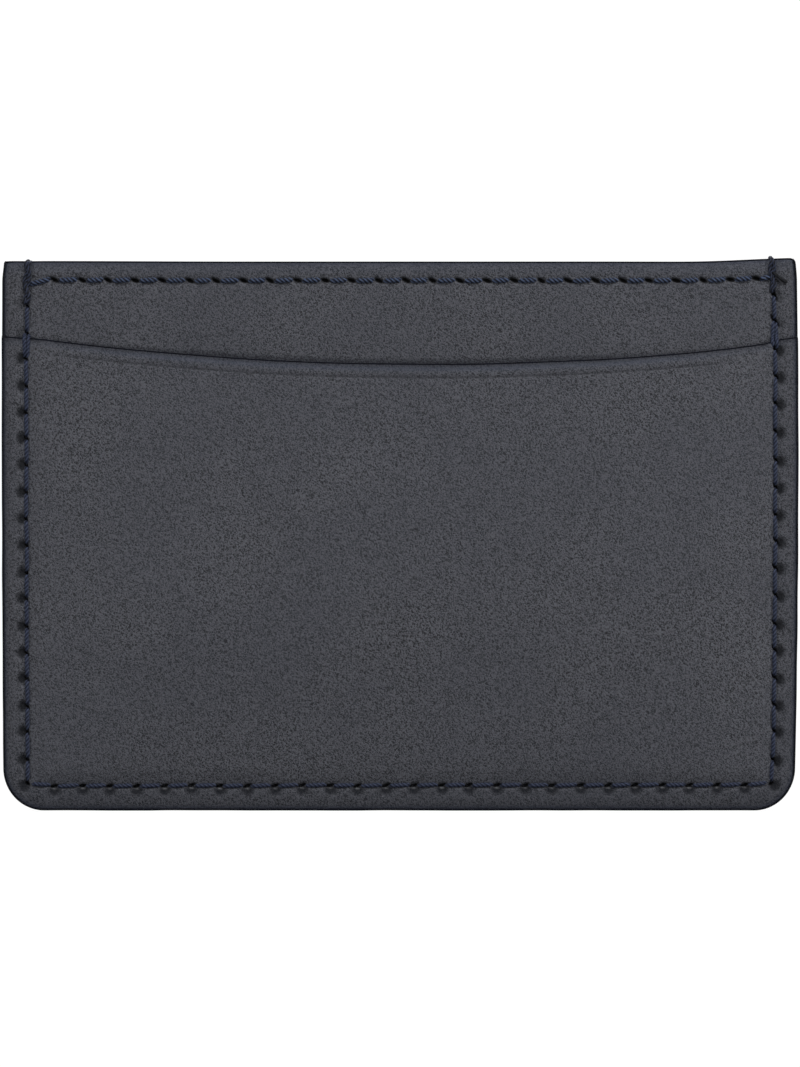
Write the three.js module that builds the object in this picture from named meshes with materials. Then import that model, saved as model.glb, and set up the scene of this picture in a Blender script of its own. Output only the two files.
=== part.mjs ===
// A slim leather card holder. Two lined panels, each with an outer pocket, are sewn together round the
// sides and the bottom, so that a third pocket opens upwards between them.
//
// Millimetres, +Z up. The holder stands on its bottom edge, with the origin under the middle of that edge.
// X runs along the width, the front faces -Y and the back faces +Y. "Depth" is the distance of a surface
// from the middle plane Y = 0, and "inset" is the distance in from the outline at the sides and the bottom.
import * as THREE from "three";

// Outline
const width = 100;
const height = 69;
const cornerRadius = 5.3;
const tightestBend = 1.5;
const cornerSteps = 8;

// Thickness of each layer, of the glue between two layers and of the paint round the cut edges
const pocketThickness = 0.85;
const panelThickness = 0.75;
const liningThickness = 0.35;
const glueThickness = 0.05;
const paintThickness = 0.25;
const paintChamfer = 0.12;

// The layers are glued flat round the margin. Inside it they part over a short ramp, which leaves the middle
// open to cards 85.6 wide and 0.76 thick
const gluedMargin = 3.6;
const rampWidth = 1.2;
const outerPocketGap = 0.95;
const centrePocketGap = 1.5;

// The mouth of an outer pocket is a shallow arc, lowest in the middle
const mouthDrop = 12.9;
const mouthRadius = 378;
const mouthSteps = 24;
const mouthBevel = 0.3;

// Sewing threads
const seamInset = 3.1;
const seamCorner = 0.8;
const topRowDrop = 2.4;
const needleThreadRadius = 0.3;
const bobbinThreadRadius = 0.15;
const wrapRadius = 0.4;
const wrapLegLength = 4;
const threadGap = 0.08;
const threadSides = 8;

// Where each layer lies: the depth of its inner face in the glued margin, and where the pockets stand open
const lining = {
  thickness: liningThickness,
  gluedDepth: glueThickness / 2,
  openDepth: centrePocketGap / 2,
};
const panel = {
  thickness: panelThickness,
  gluedDepth: lining.gluedDepth + liningThickness + glueThickness,
  openDepth: lining.openDepth + liningThickness + glueThickness,
};
const pocket = {
  thickness: pocketThickness,
  gluedDepth: panel.gluedDepth + panelThickness + glueThickness,
  openDepth: panel.openDepth + panelThickness + outerPocketGap,
};

// The insets at which a sheet changes slope: its cut edge, and the two ends of the ramp
const leatherInset = paintThickness + glueThickness;
const openInset = gluedMargin + rampWidth;
const slopeInsets = [leatherInset, gluedMargin, openInset];

// The outermost surfaces of the glued margin, above and below the mouth of a pocket
const panelMarginFace = panel.gluedDepth + panelThickness;
const pocketMarginFace = pocket.gluedDepth + pocketThickness;

// Finishes
const finishes = {
  leather: { color: 0x46474d, roughness: 0.6, metalness: 0 },
  lining: { color: 0x33363f, roughness: 0.75, metalness: 0 },
  edgePaint: { color: 0x14151b, roughness: 0.45, metalness: 0 },
  thread: { color: 0x2a3147, roughness: 0.7, metalness: 0 },
};

// How far the layers have parted at an inset: 0 where they are glued, 1 where the pockets stand open
function openingAt(inset) {
  return THREE.MathUtils.clamp((inset - gluedMargin) / rampWidth, 0, 1);
}

function innerDepth(layer, inset) {
  return THREE.MathUtils.lerp(layer.gluedDepth, layer.openDepth, openingAt(inset));
}

function outerDepth(layer, inset) {
  return innerDepth(layer, inset) + layer.thickness;
}

// The two kinds of top edge, as heights over a point at x
function straightTop() {
  return height;
}

function mouthTop(x) {
  const riseFromLowest = mouthRadius - Math.sqrt(mouthRadius ** 2 - x ** 2);
  return height - mouthDrop + riseFromLowest;
}

// A line at an inset, in X and Z: down the left side, round the bottom corners and up the right side
function insetLine(inset, topHeight, sideHeights = []) {
  const x = width / 2 - inset;
  const radius = Math.max(cornerRadius - inset, tightestBend);
  const left = [topHeight, ...sideHeights].map((z) => new THREE.Vector2(-x, z));
  for (let step = 0; step <= cornerSteps; step++) {
    const angle = Math.PI + (step / cornerSteps) * (Math.PI / 2);
    const towardsEdge = new THREE.Vector2(Math.cos(angle), Math.sin(angle)).multiplyScalar(radius);
    left.push(new THREE.Vector2(radius - x, inset + radius).add(towardsEdge));
  }
  const right = left.map((point) => new THREE.Vector2(-point.x, point.y)).reverse();
  return [...left, ...right];
}

// X positions between the two ends of the open middle of a top edge, from left to right
function middlePositions(topSteps) {
  const flatEnd = width / 2 - openInset;
  return Array.from({ length: topSteps - 1 }, (_, step) => flatEnd * ((2 * (step + 1)) / topSteps - 1));
}

// X positions across a whole top edge, from left to right
function crossPositions(topSteps) {
  const right = slopeInsets.map((inset) => width / 2 - inset);
  return [...right.map((x) => -x), ...middlePositions(topSteps), ...right.reverse()];
}

function solidFrom(points, faces) {
  const geometry = new THREE.BufferGeometry();
  const coordinates = points.flatMap((point) => point.toArray());
  geometry.setAttribute("position", new THREE.Float32BufferAttribute(coordinates, 3));
  geometry.setIndex(faces.flat());
  geometry.computeVertexNormals();
  return geometry;
}

// The flat pattern of a sheet in X and Z, as triangles that turn anticlockwise: a margin and a ramp round
// the sides and the bottom, and a middle that ends at the top edge
function sheetPattern(topEdge, topSteps) {
  const points = [];
  const insetOf = [];
  for (const inset of slopeInsets) {
    for (const point of insetLine(inset, topEdge(width / 2 - inset) - leatherInset)) {
      points.push(point);
      insetOf.push(inset);
    }
  }
  const lineLength = points.length / slopeInsets.length;
  const faces = [];
  for (let i = 1; i < points.length - lineLength; i++) {
    if (i % lineLength === 0) continue;
    faces.push([i - 1, i, i + lineLength], [i - 1, i + lineLength, i + lineLength - 1]);
  }
  const middle = Array.from({ length: lineLength }, (_, i) => points.length - lineLength + i);
  for (const x of middlePositions(topSteps).reverse()) {
    middle.push(points.length);
    points.push(new THREE.Vector2(x, topEdge(x) - leatherInset));
    insetOf.push(openInset);
  }
  const outline = middle.map((i) => points[i]);
  for (const face of THREE.ShapeUtils.triangulateShape(outline, [])) {
    faces.push(face.map((corner) => middle[corner]));
  }
  return { points, insetOf, faces };
}

// A sheet of leather or lining: the pattern laid at the layer's depth and given its thickness
function sheet(layer, topEdge, topSteps) {
  const pattern = sheetPattern(topEdge, topSteps);
  const count = pattern.points.length;
  const laidAt = (depth) =>
    pattern.points.map(({ x, y }, i) => new THREE.Vector3(x, -depth(layer, pattern.insetOf[i]), y));
  const edges = new Set(pattern.faces.flatMap(([a, b, c]) => [`${a} ${b}`, `${b} ${c}`, `${c} ${a}`]));
  const faces = [];
  for (const [a, b, c] of pattern.faces) {
    faces.push([a + count, b + count, c + count], [a, c, b]);
    for (const [from, to] of [[a, b], [b, c], [c, a]]) {
      const isCutEdge = !edges.has(`${to} ${from}`);
      if (isCutEdge) faces.push([from, to, to + count], [from, to + count, from + count]);
    }
  }
  return solidFrom([...laidAt(innerDepth), ...laidAt(outerDepth)], faces);
}

// A closed solid through a row of rings that have the same number of corners
function loft(rings) {
  const corners = rings[0].length;
  const last = (rings.length - 1) * corners;
  const faces = [];
  for (let start = 0; start < last; start += corners) {
    for (let corner = 0; corner < corners; corner++) {
      const next = (corner + 1) % corners;
      faces.push([start + corner, start + next, start + corners + next]);
      faces.push([start + corner, start + corners + next, start + corners + corner]);
    }
  }
  for (let corner = 2; corner < corners; corner++) {
    faces.push([0, corner, corner - 1], [last, last + corner - 1, last + corner]);
  }
  return solidFrom(rings.flat(), faces);
}

// The paint round the sides and the bottom, as wide as the stack of layers that it covers
function perimeterPaint() {
  const mouthEnd = mouthTop(width / 2);
  const sideHeights = [mouthEnd + mouthBevel, mouthEnd];
  const outerLine = insetLine(0, height, sideHeights);
  const innerLine = insetLine(paintThickness, height, sideHeights);
  const rings = outerLine.map((outer, i) => {
    const inner = innerLine[i];
    const shoulder = outer.clone().lerp(inner, paintChamfer / paintThickness);
    const depth = outer.y > mouthEnd ? panelMarginFace : pocketMarginFace;
    return [
      new THREE.Vector3(inner.x, -depth, inner.y),
      new THREE.Vector3(shoulder.x, -depth, shoulder.y),
      new THREE.Vector3(outer.x, paintChamfer - depth, outer.y),
      new THREE.Vector3(outer.x, depth - paintChamfer, outer.y),
      new THREE.Vector3(shoulder.x, depth, shoulder.y),
      new THREE.Vector3(inner.x, depth, inner.y),
    ];
  });
  return loft(rings);
}

// The paint along a top edge, over the layers from innermost to outermost
function topEdgePaint(innermost, outermost, topEdge, topSteps) {
  const rings = crossPositions(topSteps).map((x) => {
    const inset = width / 2 - Math.abs(x);
    const near = -innerDepth(innermost, inset);
    const far = -outerDepth(outermost, inset);
    const top = topEdge(x);
    return [
      new THREE.Vector3(x, far, top - paintThickness),
      new THREE.Vector3(x, near, top - paintThickness),
      new THREE.Vector3(x, near, top - paintChamfer),
      new THREE.Vector3(x, near - paintChamfer, top),
      new THREE.Vector3(x, far + paintChamfer, top),
      new THREE.Vector3(x, far, top - paintChamfer),
    ];
  });
  return loft(rings);
}

// A route with a corner at each of its points, sampled at exactly those corners
class Route extends THREE.Curve {
  constructor(points) {
    super();
    this.points = points;
  }

  getPoint(t) {
    const place = THREE.MathUtils.clamp(t, 0, 1) * (this.points.length - 1);
    const start = Math.min(Math.floor(place), this.points.length - 2);
    return this.points[start].clone().lerp(this.points[start + 1], place - start);
  }

  getPointAt(t) {
    return this.getPoint(t);
  }

  getTangentAt(t) {
    return this.getTangent(t);
  }
}

function thread(points, radius) {
  const section = new THREE.Shape().absarc(0, 0, radius, 0, 2 * Math.PI);
  return new THREE.ExtrudeGeometry(section, {
    curveSegments: threadSides / 2,
    steps: points.length - 1,
    bevelEnabled: false,
    extrudePath: new Route(points),
  });
}

// The thread on one face of the seam, from under the left wrap round to under the right wrap. It lies on
// the panel down to the mouth, and on the pocket from there
function seamThread() {
  const x = width / 2 - seamInset;
  const lift = needleThreadRadius + threadGap;
  const onPanel = -(panelMarginFace + lift);
  const onPocket = -(pocketMarginFace + lift);
  const top = height - wrapLegLength - 2 * threadGap;
  const mouth = mouthTop(x);
  const left = [
    new THREE.Vector3(-x, onPanel, top),
    new THREE.Vector3(-x, onPanel, mouth + 4 * mouthBevel),
    new THREE.Vector3(-x, onPocket, mouth + mouthBevel),
    new THREE.Vector3(-x, onPocket, seamInset + seamCorner),
    new THREE.Vector3(seamCorner - x, onPocket, seamInset),
  ];
  const right = left.map((point) => new THREE.Vector3(-point.x, point.y, point.z)).reverse();
  return thread([...left, ...right], needleThreadRadius);
}

// The thread that shows on the panel, in the row along the top edge
function topRowNeedleThread() {
  const end = width / 2 - seamInset - wrapRadius - 4 * threadGap;
  const xs = [-end, ...crossPositions(1).filter((x) => Math.abs(x) < end), end];
  const points = xs.map((x) => {
    const depth = outerDepth(panel, width / 2 - Math.abs(x)) + needleThreadRadius + threadGap;
    return new THREE.Vector3(x, -depth, height - topRowDrop);
  });
  return thread(points, needleThreadRadius);
}

// The finer thread on the other side of that row, inside the centre pocket, where the pocket stands open
function topRowBobbinThread() {
  const end = width / 2 - openInset;
  const depth = lining.openDepth - bobbinThreadRadius - threadGap;
  const ends = [-end, end].map((x) => new THREE.Vector3(x, -depth, height - topRowDrop));
  return thread(ends, bobbinThreadRadius);
}

// The doubled stitch that locks the end of the seam, over the top edge from one face to the other
function cornerWrap(side) {
  const x = side * (width / 2 - seamInset);
  const lift = wrapRadius + threadGap;
  const legDepth = panelMarginFace + lift;
  const front = [
    new THREE.Vector3(x, -legDepth, height - wrapLegLength),
    new THREE.Vector3(x, -legDepth, height + lift / 3),
    new THREE.Vector3(x, lift - legDepth - threadGap, height + lift + threadGap),
  ];
  const back = front.map((point) => new THREE.Vector3(point.x, -point.y, point.z)).reverse();
  return thread([...front, ...back], wrapRadius);
}

function piece(name, geometry, finish) {
  const mesh = new THREE.Mesh(geometry, new THREE.MeshStandardMaterial(finish));
  mesh.name = name;
  return mesh;
}

// One half of the holder: its panel, lining and outer pocket, with their edge paint and thread
function half(name, seamThreadName) {
  const mouthPaint = topEdgePaint(pocket, pocket, mouthTop, mouthSteps);
  const topPaint = topEdgePaint(lining, panel, straightTop, 1);
  const group = new THREE.Group();
  group.add(
    piece(`${name}_pocket`, sheet(pocket, mouthTop, mouthSteps), finishes.leather),
    piece(`${name}_panel`, sheet(panel, straightTop, 1), finishes.leather),
    piece(`${name}_lining`, sheet(lining, straightTop, 1), finishes.lining),
    piece(`${name}_mouth_edge_paint`, mouthPaint, finishes.edgePaint),
    piece(`${name}_top_edge_paint`, topPaint, finishes.edgePaint),
    piece(`${name}_top_needle_thread`, topRowNeedleThread(), finishes.thread),
    piece(`${name}_top_bobbin_thread`, topRowBobbinThread(), finishes.thread),
    piece(seamThreadName, seamThread(), finishes.thread),
  );
  return group;
}

const front = half("front", "seam_needle_thread");
const back = half("back", "seam_bobbin_thread");
back.rotation.z = Math.PI;

const cardHolder = new THREE.Group();
cardHolder.add(
  front,
  back,
  piece("perimeter_edge_paint", perimeterPaint(), finishes.edgePaint),
  piece("left_corner_wrap", cornerWrap(-1), finishes.thread),
  piece("right_corner_wrap", cornerWrap(1), finishes.thread),
);

export default cardHolder;
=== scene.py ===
"""The looks of a slim leather card holder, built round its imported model.

Lengths in the builders below are millimetres, and become metres when a piece is finished. Each half of the
holder is made as a front, which faces -Y, and the back half is the same thing turned half a turn. "Depth"
is a surface's distance from the middle plane, and "inset" is the distance in from the outline.
"""

import math

import bpy
import numpy as np
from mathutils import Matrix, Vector
from mathutils.geometry import delaunay_2d_cdt


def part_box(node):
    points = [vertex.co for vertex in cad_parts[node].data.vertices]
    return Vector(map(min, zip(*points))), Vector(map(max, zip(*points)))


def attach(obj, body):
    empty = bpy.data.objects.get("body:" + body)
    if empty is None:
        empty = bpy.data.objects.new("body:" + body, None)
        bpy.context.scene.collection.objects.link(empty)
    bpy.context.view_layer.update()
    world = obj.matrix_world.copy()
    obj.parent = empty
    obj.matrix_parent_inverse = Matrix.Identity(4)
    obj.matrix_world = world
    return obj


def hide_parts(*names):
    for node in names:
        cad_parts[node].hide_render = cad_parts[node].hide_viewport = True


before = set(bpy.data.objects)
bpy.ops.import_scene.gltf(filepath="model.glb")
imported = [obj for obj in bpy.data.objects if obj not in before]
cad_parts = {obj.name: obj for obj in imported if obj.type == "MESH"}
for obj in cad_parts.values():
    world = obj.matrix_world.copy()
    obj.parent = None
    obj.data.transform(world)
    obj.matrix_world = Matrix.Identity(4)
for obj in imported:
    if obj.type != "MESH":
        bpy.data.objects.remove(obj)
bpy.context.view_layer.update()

MM = 0.001
SEED = 7

# Outline
HALF_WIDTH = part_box("perimeter_edge_paint")[1].x / MM
HEIGHT = 68.8
CORNER_RADIUS = 5.3
TOP_LEFT_RADIUS = 0.3
TOP_RIGHT_RADIUS = 0.65
PAINT_THICKNESS = 0.2
MOUTH_PAINT_THICKNESS = 0.15

# Layers: thickness, and the depth of the inner face in the glued margin and in the open middle
LINING = {"thickness": 0.35, "glued": 0.03, "open": 0.75}
PANEL = {"thickness": 0.75, "glued": 0.4, "open": 1.12}
POCKET = {"thickness": 0.85, "glued": 1.2, "open": 2.82}
BULGE_SHARE = 0.16
BULGE_START = 3.35
BULGE_END = 5.3
SIDE_SWELL = {"start": 4.0, "power": 2.5}
BOTTOM_SWELL = {"start": 4.4, "power": 1.9}
SWELL_END = 30.0

# Glued margin: a low crown halfway to the seam, and a cut edge that turns down
CROWN_HEIGHT = 0.1
CROWN_INSET = 1.75
CROWN_HALF_WIDTH = 0.8
EDGE_TURN = 0.32
EDGE_TURN_BOTTOM = 0.16
EDGE_TURN_REACH = 1.5
BOTTOM_WEAR = 0.12
MARGIN_WIDTH = 3.2

# Mouth of the outer pocket
MOUTH_LOWEST = 55.92
MOUTH_CENTRE = 3.5
MOUTH_RADIUS = 377.7
MOUTH_DROOP_LEFT = 0.3
MOUTH_LIFT_RIGHT = 0.26
MOUTH_WANDER = 0.03
LIP_TURN = 0.2
CREASE_DROP = 1.8
CREASE_HALF_WIDTH = 0.16
CREASE_DEPTH = 0.1

# Seams
SEAM_SIDE = 46.9
SEAM_BOTTOM = 3.18
SEAM_CORNER = 0.8
SEAM_SHIFT = 0.12
LEFT_FIRST_HOLE = 63.15
RIGHT_FIRST_HOLE = 64.4
SIDE_STITCHES = 18
BOTTOM_STITCHES = 27
TOP_ROW_HEIGHT = 66.4
TOP_ROW_START = -43.3
TOP_ROW_PITCH = 3.39
TOP_ROW_STITCHES = 26

# Needle holes: the lean of each slit in degrees, half its length and width, and how far the places stray
LEFT_SLIT = {"lean": -66, "length": 0.46, "width": 0.13}
RIGHT_SLIT = {"lean": -62, "length": 0.56, "width": 0.15}
BOTTOM_SLIT = {"lean": 8, "length": 0.55, "width": 0.13}
CORNER_SLIT = {"lean": 50, "length": 0.42, "width": 0.13}
ROW_SLIT = {"lean": -20, "length": 0.64, "width": 0.26}
SIDE_STRAY = (0.06, 0.12)
BOTTOM_STRAY = (0.1, 0.05)
ROW_STRAY = (0.08, 0.03)
BOTTOM_RISE = 0.1
RIGHT_DIMPLE_DROP = 0.34

# What a seam does to the leather: depths of its groove, dimples and slits, and how far out the dimples lie
POCKET_PULL = {"groove": 0.2, "dimple": 0.36, "slit": 0.5, "reach": 0.64}
PANEL_PULL = {"groove": 0.16, "dimple": 0.12, "slit": 0.42, "reach": 0.7}
ROW_PULL = {"groove": 0.13, "slit": 0.42, "reach": 0.7}
DIMPLE_OUT = 0.68
DIMPLE_ALONG = 0.86
BURR_PLACE = 0.36
BURR_OUT = 0.1
BURR_ALONG = 0.22
BURR_HEIGHT = 0.05
MARK_REACH = 3

# Threads: radii, the twist, and how high a stitch lies and how deep its ends dive
NEEDLE_RADIUS = 0.305
SEAM_RADIUS = 0.265
BOBBIN_RADIUS = 0.24
TAIL_RADIUS = 0.2
PLIES = 3
PLY_VALLEY = 0.68
PLY_CREST = 0.36
TWIST_PITCH = 1.5
TWIST_STEP = 0.065
ROW_LIFT = 0.17
ROW_DIVE = 0.85
ROW_GAP = 0.82
SEAM_LIFT = 0.1
SEAM_DIVE = 0.8
SIDE_GAP = 0.36
BOTTOM_GAP = 0.62

# Corner wraps: their places, their twist, and each run's offset, sway, how much sooner it dives, and radius
LEFT_WRAP = -46.78
RIGHT_WRAP = 46.87
WRAP_PITCH = 2.1
WRAP_RUNS = ((-0.17, 0.17, 0.0, 0.22), (0.17, 0.13, 0.3, 0.2), (0.02, 0.25, 0.12, 0.24))

# Edge paint: how it laps the leather, its unevenness, its round ends and the lines where layers meet
SIDE_LAP = 0.08
TOP_LAP = 0.04
MOUTH_LAP = 0.02
PAINT_WANDER = 0.02
END_ROUNDING = 0.4
END_NARROWING = 0.45
LAYER_LINES = (0.0, 0.39, 1.19)
LAYER_LINE_DEPTH = 0.1
LAYER_LINE_HALF_WIDTH = 0.07

# Where the points of a sheet lie: insets of the lines that follow the seam, and drops of the rows under a top
FINE_INSETS = np.r_[
    0.45, 0.62, 0.85, 1.15, 1.5, 1.85, 2.15, 2.4, 2.58, 2.72, 2.84, 2.96,
    3.08, 3.2, 3.32, 3.45, 3.6, 3.8, 4.05, 4.35, 4.7, 5.1, 5.6, 6.3,
]
MOUTH_DROPS = np.r_[0.08, 0.18, 0.3, 0.45, 0.65, 0.9, 1.2, 1.45, 1.6, 1.7, 1.8, 1.9, 2.0, 2.15, 2.4, 2.8, 3.4]
MOUTH_RISES = np.r_[-0.6, -0.2, 0.05, 0.2, 0.35, 0.5, 0.65, 0.8, 1.0, 1.25]
ROW_DROPS = np.r_[
    0.1, 0.22, 0.4, 0.65, 1.0, 1.35, 1.65, 1.85, 2.0, 2.12,
    2.24, 2.36, 2.48, 2.6, 2.75, 2.95, 3.2, 3.6, 4.2, 5.0,
]
START_DROPS = np.r_[0.0, 0.12]
END_DROPS = np.r_[0.0, 0.03, 0.08, 0.16, 0.28, 0.42]
COARSE_INSETS = (1.2, 2.6, 4.2, 5.4)
COARSE_DROPS = np.r_[0.6, 1.8]
ROW_REACH = 46.4
OUTLINE_PITCH = 0.36
PAINT_PITCH = 0.4
FINE_PITCH = 0.24
ROW_PITCH = 0.5
MIDDLE_PITCH = 1.5
COARSE_PITCH = 3.0
MIDDLE_INSET = 7.1
PAINT_SAMPLES = 61

# Studio
WHITE = (1, 1, 1, 1)
SURROUND_SEEN = 1.05
SURROUND_FELT = 0.14
FLOOR_REACH = 4.0
FLOOR_GLOW = 1.18
FLOOR_GLOW_SHARE = 0.83
MIDDLE = (0, 0, 0.035)
KEY_SIZE = (0.3, 0.22)
STRIP_SIZE = (0.12, 0.34)
# Lights: name, place, what it is aimed at, size and watts
LIGHTS = (
    ("front_light", (0.1, -0.34, 0.45), (0.01, 0, 0.045), KEY_SIZE, 1.61),
    ("back_light", (-0.07, 0.34, 0.44), (-0.01, 0, 0.045), KEY_SIZE, 1.5),
    ("left_strip", (-0.5, -0.24, 0.14), MIDDLE, STRIP_SIZE, 0.74),
    ("right_strip", (0.5, -0.24, 0.16), MIDDLE, STRIP_SIZE, 0.9),
    ("back_left_strip", (-0.5, 0.24, 0.14), MIDDLE, STRIP_SIZE, 0.7),
    ("back_right_strip", (0.5, 0.24, 0.16), MIDDLE, STRIP_SIZE, 0.7),
)
CAMERA_PLACE = (0.00003, -0.5582, 0.03473)
CAMERA_LENS = 150


def ease(value, start, end):
    """0 at start, 1 at end, and smooth in between."""
    share = np.clip((value - start) / (end - start), 0, 1)
    return share * share * (3 - 2 * share)


def bell(value, half_width):
    """1 at zero, falling smoothly on both sides."""
    return np.exp(-((value / half_width) ** 2))


class Ripple:
    """A smooth, seeded unevenness over the sheet, from -1 to 1, with waves about as long as given."""

    def __init__(self, seed, wavelength, waves=14):
        draw = np.random.default_rng(SEED + seed)
        direction = draw.uniform(0, 2 * math.pi, waves)
        length = wavelength * draw.uniform(0.6, 1.6, waves)
        self.across = np.cos(direction) * 2 * math.pi / length
        self.up = np.sin(direction) * 2 * math.pi / length
        self.phase = draw.uniform(0, 2 * math.pi, waves)
        self.share = 1.4 / math.sqrt(waves)

    def __call__(self, x, z):
        angle = np.multiply.outer(x, self.across) + np.multiply.outer(z, self.up) + self.phase
        return np.sin(angle).sum(-1) * self.share * 0.7


sag = Ripple(1, 26.0)
dent = Ripple(2, 6.5)
edge_wander = Ripple(3, 9.0)
mouth_wander = Ripple(4, 14.0)


# ---- the form of the sheets


def inset_from(x, z, side, bottom, corner):
    """Distance inside a line down both sides and along the bottom, with round corners."""
    across = np.abs(x) - (side - corner)
    down = bottom + corner - z
    rounded = np.hypot(across, down)
    return corner - np.where((across > 0) & (down > 0), rounded, np.maximum(across, down))


def outline_inset(x, z):
    return inset_from(x, z, HALF_WIDTH, 0.0, CORNER_RADIUS)


def seam_inset(x, z):
    return inset_from(x - SEAM_SHIFT, z, SEAM_SIDE, SEAM_BOTTOM, SEAM_CORNER)


def top_height(x):
    return np.full_like(np.asarray(x, float), HEIGHT)


def mouth_height(x):
    """The shallow curve of the mouth, which flattens where it is sewn down at its two ends."""
    x = np.asarray(x, float)
    across = x - MOUTH_CENTRE
    curve = MOUTH_LOWEST + MOUTH_RADIUS - np.sqrt(MOUTH_RADIUS**2 - across**2)
    left_droop = MOUTH_DROOP_LEFT * ease(-x, 44.0, 50.0)
    right_lift = MOUTH_LIFT_RIGHT * ease(x, 45.6, 47.2)
    return curve - left_droop + right_lift + MOUTH_WANDER * mouth_wander(x, 0 * x)


def top_cut(x):
    """Where the leather ends under the paint of the top edge."""
    return top_height(x) - PAINT_THICKNESS


def mouth_cut(x):
    """Where the leather ends under the paint of the mouth."""
    return mouth_height(x) - MOUTH_PAINT_THICKNESS


def swelled(distance, swell):
    """How far a slow swell has risen at a distance in from its edge."""
    share = np.clip((distance - swell["start"]) / (SWELL_END - swell["start"]), 0, 1)
    return 1 - (1 - share) ** swell["power"]


def layer_depth(layer, x, z):
    """Inner face of a layer: a quick bulge just inside the seam, then a slow swell towards the middle."""
    travel = layer["open"] - layer["glued"]
    bulge = ease(outline_inset(x, z), BULGE_START, BULGE_END)
    swell = swelled(HALF_WIDTH - np.abs(x), SIDE_SWELL) * swelled(z, BOTTOM_SWELL)
    return layer["glued"] + travel * (BULGE_SHARE * bulge + (1 - BULGE_SHARE) * swell)


# ---- needle holes


class Hole:
    """A slit that the needle left: its place, the way it leans, and what lies round it.

    outward points to the near edge, where the leather is pulled into a dimple. A burr is the bit of raised
    leather that stands at a slit's outer lip.
    """

    def __init__(self, place, outward, slit, length, width, dimple_drop=0.0, burr=0.0):
        self.place = np.array(place, float)
        self.outward = np.array(outward, float)
        self.slit = np.array(slit, float)
        self.length = length
        self.width = width
        self.dimple_drop = dimple_drop
        self.burr = burr


def heading(degrees):
    """A direction in the plane of the sheet, turned anticlockwise from the right."""
    angle = math.radians(degrees)
    return math.cos(angle), math.sin(angle)


def column_heights(first):
    return np.linspace(first, SEAM_BOTTOM, SIDE_STITCHES + 1)


def strayed(x, z, stray, draw):
    """A place that is off by up to stray, across and up."""
    return x + draw.uniform(-stray[0], stray[0]), z + draw.uniform(-stray[1], stray[1])


def corner_hole(side):
    """The hole where the seam turns, at the bottom left or right."""
    place = (side * (SEAM_SIDE - 0.1), SEAM_BOTTOM + 0.35)
    slit = heading(side * CORNER_SLIT["lean"])
    return Hole(place, (0.7 * side, -0.7), slit, CORNER_SLIT["length"], CORNER_SLIT["width"])


def make_seam_holes():
    """Down the left side, along the bottom and up the right side, evenly but not perfectly spaced."""
    draw = np.random.default_rng(SEED)
    holes = []
    for z in column_heights(LEFT_FIRST_HOLE)[:-1]:
        place = strayed(SEAM_SHIFT - SEAM_SIDE, z, SIDE_STRAY, draw)
        slit = heading(LEFT_SLIT["lean"] + draw.uniform(-8, 8))
        holes.append(Hole(place, (-1, 0), slit, LEFT_SLIT["length"], LEFT_SLIT["width"]))
    holes.append(corner_hole(-1))
    for x in np.linspace(-SEAM_SIDE, SEAM_SIDE, BOTTOM_STITCHES + 1)[1:-1]:
        rise = BOTTOM_RISE * (x + SEAM_SIDE) / (2 * SEAM_SIDE)
        place = strayed(x, SEAM_BOTTOM + rise, BOTTOM_STRAY, draw)
        slit = heading(BOTTOM_SLIT["lean"] + 10 * ease(x, -46, -20) + draw.uniform(-5, 5))
        burr = draw.uniform(0.4, 1.0)
        holes.append(Hole(place, (0, -1), slit, BOTTOM_SLIT["length"], BOTTOM_SLIT["width"], burr=burr))
    holes.append(corner_hole(1))
    for z in column_heights(RIGHT_FIRST_HOLE)[:-1][::-1]:
        place = strayed(SEAM_SIDE + SEAM_SHIFT, z, SIDE_STRAY, draw)
        slit = heading(RIGHT_SLIT["lean"] + draw.uniform(-8, 8))
        widening = 1 + 0.6 * ease(z, 58.0, 61.0)
        length = RIGHT_SLIT["length"] * widening
        width = RIGHT_SLIT["width"] * widening
        holes.append(Hole(place, (1, 0), slit, length, width, RIGHT_DIMPLE_DROP))
    return holes


def make_top_row_holes():
    """Along the row of stitches under the top edge."""
    draw = np.random.default_rng(SEED + 1)
    holes = []
    for number in range(TOP_ROW_STITCHES + 1):
        place = strayed(TOP_ROW_START + TOP_ROW_PITCH * number, TOP_ROW_HEIGHT, ROW_STRAY, draw)
        slit = heading(ROW_SLIT["lean"] + draw.uniform(-9, 7))
        length = ROW_SLIT["length"] + draw.uniform(-0.06, 0.08)
        holes.append(Hole(place, (0, 1), slit, length, ROW_SLIT["width"]))
    return holes


def turned_over(holes):
    """The same holes as the back half meets them."""
    flip = np.array([-1, 1])
    turned = []
    for hole in holes[::-1]:
        ways = (hole.place * flip, hole.outward * flip, hole.slit * flip)
        turned.append(Hole(*ways, hole.length, hole.width, hole.dimple_drop, hole.burr))
    return turned


seam_holes = make_seam_holes()
top_row_holes = make_top_row_holes()


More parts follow.
